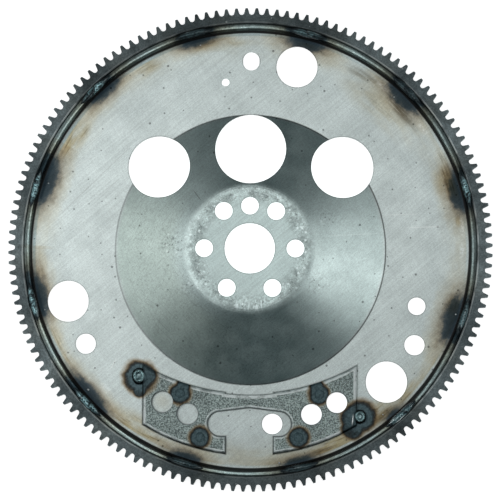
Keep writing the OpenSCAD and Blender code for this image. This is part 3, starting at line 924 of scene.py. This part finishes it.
def ring_scale():
    scale = Finish("ring_scale")
    patches = scale.fade(scale.noise(16.0, 4.0), 0.3, 0.7, 0.8, 1.2)
    grain = scale.fade(scale.noise(0.9, 3.0, 0.7), 0.3, 0.75, 0.7, 1.45)
    # Painted light: lighter on the left and right, darker at the top and bottom.
    side_lit = scale.fade(scale.math("ABSOLUTE", scale.facing(12.0)), 0.35, 1.0, 0.9, 1.5)
    colour = scale.shade((0.115, 0.14, 0.145), scale.times(patches, grain, side_lit))
    flecks = scale.most(scale.dots(4.2, 0.55, 0.25), scale.dots(9.0, 0.9, 0.2))
    colour = scale.mix(scale.times(flecks, 0.7), colour, (0.42, 0.47, 0.47))
    # Painted highlight along the edge of the bore's bevel, broken in places and strongest on the left and
    # right.
    edge_highlight = scale.band(scale.radius, RING_EDGE - 0.7, RING_EDGE + 0.1, 0.25)
    broken = scale.fade(scale.rings(14.0, 30.0, 4.0), 0.36, 0.54, 0.15, 1.0)
    sides = scale.fade(scale.math("ABSOLUTE", scale.facing(8.0)), 0.3, 0.9, 0.25, 1.0)
    glint = scale.times(edge_highlight, broken, sides)
    colour = scale.mix(glint, colour, (0.88, 0.94, 0.93))
    colour = scale.tint(colour, 0.35, heat_colour(scale, weld_heat(scale)))
    roughness = scale.fade(scale.noise(5.0, 3.0), 0.3, 0.7, 0.42, 0.58)
    roughness = scale.most(roughness, scale.times(glint, 0.85))
    scale.bump(scale.noise(0.7, 4.0, 0.65), 0.06)
    return scale.finish(colour, roughness)


dress(nodes["ring_gear"], ring_scale())

# %% [markdown]
# The balance weight was cut from a rougher plate, which is speckled all over. A painted highlight
# runs along its rounded edges, and painted shade along the edges of its window and holes. Four spot
# welds hold it. Each left a smooth dark disc with a ring that the electrode pressed, and a brown and
# gold fringe. A painted highlight beside one tack weld stands for that weld's glint.

# %% The balance weight's steel
# Middle and radius of the smudges that lie beside two of the spot welds
SPOT_SMUDGES = [((-43.6, -89.5), 4.0), ((44.2, -89.5), 4.0)]
# Two ends of a painted highlight, the glint of the right tack weld, on the weight
TACK_GLINT = ((67.9, -109.0), (67.4, -114.0))


def weight_steel():
    steel = Finish("weight_steel")
    speckle = steel.fade(steel.noise(0.9, 2.0, 0.7), 0.36, 0.64)
    patches = steel.fade(steel.noise(18.0, 3.0), 0.3, 0.7, 0.85, 1.12)
    colour = steel.mix(speckle, (0.12, 0.148, 0.143), (0.43, 0.515, 0.495))
    colour = steel.shade(colour, patches)
    outline, window, holes = weight_edges(steel)
    broken = steel.fade(steel.noise(6.0, 4.0), 0.35, 0.6, 0.35, 0.95)
    # Painted highlight along the rounded edges, and weaker along the window's edge.
    edge_highlight = steel.times(steel.band(window, 0.6, 1.5, 0.3), 0.7)
    edge_highlight = steel.times(steel.most(steel.band(outline, 0.3, 2.4, 0.4), edge_highlight), broken)
    colour = steel.mix(edge_highlight, colour, (0.86, 0.92, 0.91))
    # Painted shade along the edges of the window and holes.
    shaded_edge = steel.least(window, holes)
    colour = steel.mix(steel.fade(shaded_edge, 0.15, 0.6, 1.0, 0.0), colour, (0.15, 0.18, 0.18))
    smudges = steel.most(steel.nearest(SPOT_SMUDGES), 0.6)
    spots = steel.blend(steel.nearest(SPOT_WELDS), smudges, 0.5)
    colour = burn_spots(steel, colour, steel.least(spots, tack_heat(steel)))
    # A painted highlight beside the right tack weld.
    colour = steel.mix(scratch(steel, *TACK_GLINT), colour, (0.95, 0.98, 0.97))
    roughness = steel.most(steel.fade(speckle, 0.0, 1.0, 0.5, 0.36), steel.times(edge_highlight, 0.65))
    steel.bump(speckle, 0.05)
    return steel.finish(colour, roughness)


dress(nodes["balance_weight"], weight_steel())

# %% [markdown]
# Weld metal is dark and glassy. Some of the beads have a pale blue-green skin of slag along their
# crown, which a list of shares for the twelve beads says, and their ends are black. Painted
# highlights lie along the crowns, as strong as a second list says.

# %% The weld metal
# How pale the crown of each stitch weld is, in turn from the right
WELD_SKINS = [0.8, 0.1, 0.3, 0.15, 0.9, 0.9, 1.0, 0.9, 0.15, 0.15, 0.5, 0.3]
# How strong the painted highlights along the crown of each are
WELD_GLINTS = [0.4, 0.15, 0.4, 0.15, 0.3, 0.3, 0.3, 0.3, 0.15, 0.15, 2.0, 0.3]
PALE_SKIN = (0.27, 0.44, 0.47)
DARK_SKIN = (0.030, 0.040, 0.045)
# Heights between which a bead's crown sets in, and distances along it between which its end does
CROWN = (13.7, 14.5)
BEAD_END = (5.0, 11.5)


def stitch_metal():
    weld = Finish("stitch_metal")
    crown = weld.fade(weld.z, *CROWN)
    middle = weld.fade(weld.math("ABSOLUTE", along_weld(weld)), *BEAD_END, 1.0, 0.0)
    skin = weld.fade(weld.noise(5.0, 3.0, 0.5, 0.5), 0.36, 0.56)
    skin = weld.times(skin, crown, middle, by_weld(weld, WELD_SKINS))
    colour = weld.mix(skin, DARK_SKIN, PALE_SKIN)
    # Painted highlights along the crowns.
    glints = weld.times(weld.fade(weld.rings(9.0, 0.8), 0.56, 0.66), crown, by_weld(weld, WELD_GLINTS))
    colour = weld.mix(weld.least(glints, 1.0), colour, (0.70, 0.78, 0.78))
    weld.bump(weld.noise(0.9, 3.0, 0.6), 0.05)
    return weld.finish(colour, weld.fade(skin, 0.0, 1.0, 0.36, 0.26))


dress(stitch_welds, stitch_metal())

# %% [markdown]
# A tack weld shows rings of colour as well: a black wall, a pale blue-green crown and a dark
# crater with a bright rim. The drops of spatter are bare metal, painted bright on top as a
# painted highlight and painted dark at their foot, where they meet the sheet, as painted shade.

# %% The tack welds' metal
# Share of the radius, and the colour there
TACK_RINGS = [
    (0.0, 0.12, 0.20, 0.21), (0.15, 0.34, 0.46, 0.47), (0.24, 0.09, 0.14, 0.15), (0.40, 0.17, 0.27, 0.28),
    (0.66, 0.24, 0.36, 0.37), (0.78, 0.04, 0.055, 0.06), (0.90, 0.015, 0.02, 0.022), (1.0, 0.03, 0.035, 0.04),
]


def tack_metal():
    weld = Finish("tack_metal")
    far = weld.nearest([(centre, (width + length) / 4) for centre, width, length in TACKS])
    ragged = weld.plus(far, weld.times(weld.minus(weld.noise(2.0, 3.0), 0.5), 0.25))
    colour = weld.ramp(ragged, TACK_RINGS)
    colour = weld.shade(colour, weld.fade(weld.noise(0.8, 3.0), 0.3, 0.7, 0.7, 1.4))
    weld.bump(weld.noise(0.9, 3.0, 0.6), 0.15)
    return weld.finish(colour, weld.fade(weld.noise(1.5, 2.0), 0.3, 0.7, 0.22, 0.4))


def drop_metal():
    drops = Finish("drop_metal")
    # Painted highlight on the drops' tops, and painted shade at their foot.
    highlit_top = drops.fade(drops.z, SHEET_FACE + 0.05, SHEET_FACE + 0.25)
    return drops.finish(drops.mix(highlit_top, (0.05, 0.06, 0.06), (0.90, 0.94, 0.94)), 0.6)


dress(tack_buttons, tack_metal())
dress(spatter, drop_metal())

# %% [markdown]
# The studio: a white floor, and a long bank of soft boxes above that runs from left to right.
# Polished steel is a mirror, so the bank's shape is what one sees in it. The cone leans away from
# the bank at its top and bottom, and turns dark there. Each box has its own brightness, because
# the photograph's cone is brightest at its lower right, and its flat annulus on the left. Four
# dim walls stand far round the part. From above they only show in its edges, but they are what
# its faces mirror when one looks from the side.

# %% Floor and lights
# Lengths in metres
FLOOR_SIZE = 14.0
LIGHT_HEIGHT = 1.5
# How far the floor lies under the part, so that their faces don't coincide
FLOOR_DEPTH = 0.2 * MM
FLOOR_GLOW = 0.85
# Place along X and Y, width, depth and brightness of each soft box
SOFT_BOXES = {
    "middle": (0.0, 0.18, 0.6, 0.56, 1.04),
    "left": (-0.55, 0.0, 0.5, 0.92, 1.66),
    "far_left_back": (-1.25, 0.3, 0.9, 0.6, 1.25),
    "far_left_front": (-1.25, -0.3, 0.9, 0.6, 0.94),
    "right": (0.55, 0.0, 0.5, 0.92, 0.64),
    "far_right_back": (1.25, 0.3, 0.9, 0.6, 1.04),
    "far_right_front": (1.25, -0.3, 0.9, 0.6, 1.51),
    "back_left_corner": (-0.95, 0.95, 0.7, 0.7, 0.28),
    "back_right_corner": (0.95, 0.95, 0.7, 0.7, 0.12),
    "front_left_corner": (-0.95, -0.95, 0.7, 0.7, 0.11),
}
WALLS = {"right_wall": (1, 0), "back_wall": (0, 1), "left_wall": (-1, 0), "front_wall": (0, -1)}
WALL_DISTANCE = 3.2
WALL_HEIGHT = 2.2
WALL_BRIGHTNESS = 0.35
WORLD_COLOUR = (0.027, 0.044, 0.048, 1)


def white_floor():
    start_clean()
    bpy.ops.mesh.primitive_plane_add(size=FLOOR_SIZE, location=(0, 0, -FLOOR_DEPTH))
    floor = bpy.context.object
    floor.name = "floor"
    material = bpy.data.materials.new("white_floor")
    material.use_nodes = True
    shader = material.node_tree.nodes["Principled BSDF"]
    shader.inputs["Base Color"].default_value = (0.9, 0.9, 0.9, 1)
    shader.inputs["Roughness"].default_value = 0.9
    shader.inputs["Emission Color"].default_value = (1, 1, 1, 1)
    shader.inputs["Emission Strength"].default_value = FLOOR_GLOW
    floor.data.materials.append(material)


def soft_light(name, place, aim, width, depth, brightness):
    """A soft box that faces along aim and looks that bright in a mirror."""
    light = bpy.data.lights.new(name, "AREA")
    light.shape = "RECTANGLE"
    light.size, light.size_y = width, depth
    light.energy = brightness * math.pi * width * depth
    lamp = bpy.data.objects.new(name, light)
    bpy.context.scene.collection.objects.link(lamp)
    lamp.location = place
    lamp.rotation_euler = Vector(aim).to_track_quat("-Z", "Y").to_euler()
    lamp.visible_camera = False


white_floor()
for name, (x, y, width, depth, brightness) in SOFT_BOXES.items():
    soft_light(name, (x, y, LIGHT_HEIGHT), (0, 0, -1), width, depth, brightness)
for name, (x, y) in WALLS.items():
    place = (x * WALL_DISTANCE, y * WALL_DISTANCE, WALL_HEIGHT / 2)
    soft_light(name, place, (-x, -y, 0), 2 * WALL_DISTANCE, WALL_HEIGHT, WALL_BRIGHTNESS)
world = bpy.data.worlds.new("studio")
world.use_nodes = True
world.node_tree.nodes["Background"].inputs["Color"].default_value = WORLD_COLOUR
bpy.context.scene.world = world
print("studio: a floor,", len(SOFT_BOXES), "soft boxes and", len(WALLS), "dim walls")

# %% [markdown]
# The camera hangs over the part and looks almost straight down its axis. Its three small turns
# and its distance were fitted to the photograph's tooth tips and holes. A long lens keeps the
# rim round.

# %% Camera
CAMERA_DISTANCE = 1.900
CAMERA_TURNS = {"X": -3.364, "Y": -1.493, "Z": -0.205}
CAMERA_SHIFT = (0.024 * MM, -0.828 * MM)
AIM_HEIGHT = 13.4 * MM
FOCAL_PIXELS = 2900.3
IMAGE_WIDTH = 500

turn = Matrix.Identity(4)
for axis, degrees in CAMERA_TURNS.items():
    turn = Matrix.Rotation(math.radians(degrees), 4, axis) @ turn
camera_data = bpy.data.cameras.new("camera")
camera_data.lens = camera_data.sensor_width * FOCAL_PIXELS / IMAGE_WIDTH
camera = bpy.data.objects.new("camera", camera_data)
bpy.context.scene.collection.objects.link(camera)
back = turn.transposed()
place = back @ Vector((*CAMERA_SHIFT, CAMERA_DISTANCE)) + Vector((0, 0, AIM_HEIGHT))
camera.matrix_world = Matrix.Translation(place) @ back
bpy.context.scene.camera = camera
bpy.context.scene.view_settings.view_transform = "Standard"
print("camera at", [round(v, 3) for v in place], "lens", round(camera_data.lens, 1))
